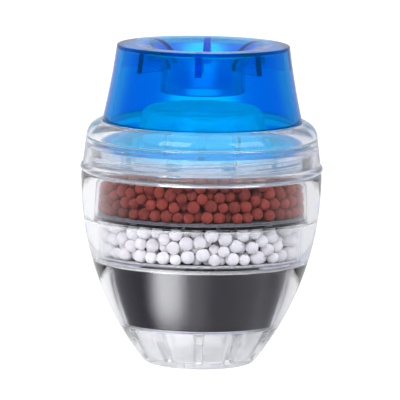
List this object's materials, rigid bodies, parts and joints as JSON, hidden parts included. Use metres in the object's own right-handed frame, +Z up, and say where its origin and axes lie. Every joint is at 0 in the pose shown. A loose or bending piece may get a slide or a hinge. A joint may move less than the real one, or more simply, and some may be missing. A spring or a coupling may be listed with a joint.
{
  "type": "tap water filter",
  "caption": "Clear screw-capped tap filter with stacked cups of clay balls, mineral balls and carbon, and a soft blue sleeve that grips the tap's spout.",
  "frame": {"origin": "centre of the flat outlet rim that the filter stands on", "axes": "+Z up along the filter's axis, towards the tap; -Y faces the picture's camera"},
  "size_m": [0.047, 0.047, 0.062],
  "materials": {
    "clear_shell": "clear moulded plastic, polished",
    "clear_cup": "clear moulded plastic, polished",
    "carbon": "packed black carbon powder, pressed against a glossy clear wall",
    "white_mineral": "white mineral balls, matte",
    "red_clay": "fired red clay balls, matte",
    "steel_mesh": "fine woven steel wire",
    "grey_fleece": "grey filter fleece",
    "white_mesh": "fine woven white screen",
    "blue_pvc": "translucent blue soft plastic, glossy"
  },
  "bodies": {
    "housing": {"bowl": "clear_shell", "lower_cup": "clear_cup", "carbon_block": "carbon", "lower_screen": "white_mesh", "middle_cup": "clear_cup", "mineral_balls": "white_mineral", "middle_pad": "grey_fleece", "middle_screen": "steel_mesh", "upper_cup": "clear_cup", "clay_balls": "red_clay", "upper_pad": "grey_fleece", "upper_screen": "steel_mesh", "inlet_pad": "grey_fleece", "inlet_screen": "white_mesh", "inlet_cover": "clear_cup"},
    "sleeve": {"tap_sleeve": "blue_pvc"},
    "cap": {"screw_cap": "clear_shell"}
  },
  "joints": [
    {"name": "sleeve_lift", "type": "slide", "parent": "housing", "child": "sleeve", "axis": [0, 0, 1], "range_m": [0, 0.003]},
    {"name": "cap_turn", "type": "hinge", "parent": "sleeve", "child": "cap", "pos_m": [0, 0, 0.045], "axis": [0, 0, 1], "range_deg": [0, 270]}
  ],
  "couplings": [
    {"joint": "sleeve_lift", "follows": "cap_turn", "m_per_rad": 0.00063662}
  ]
}
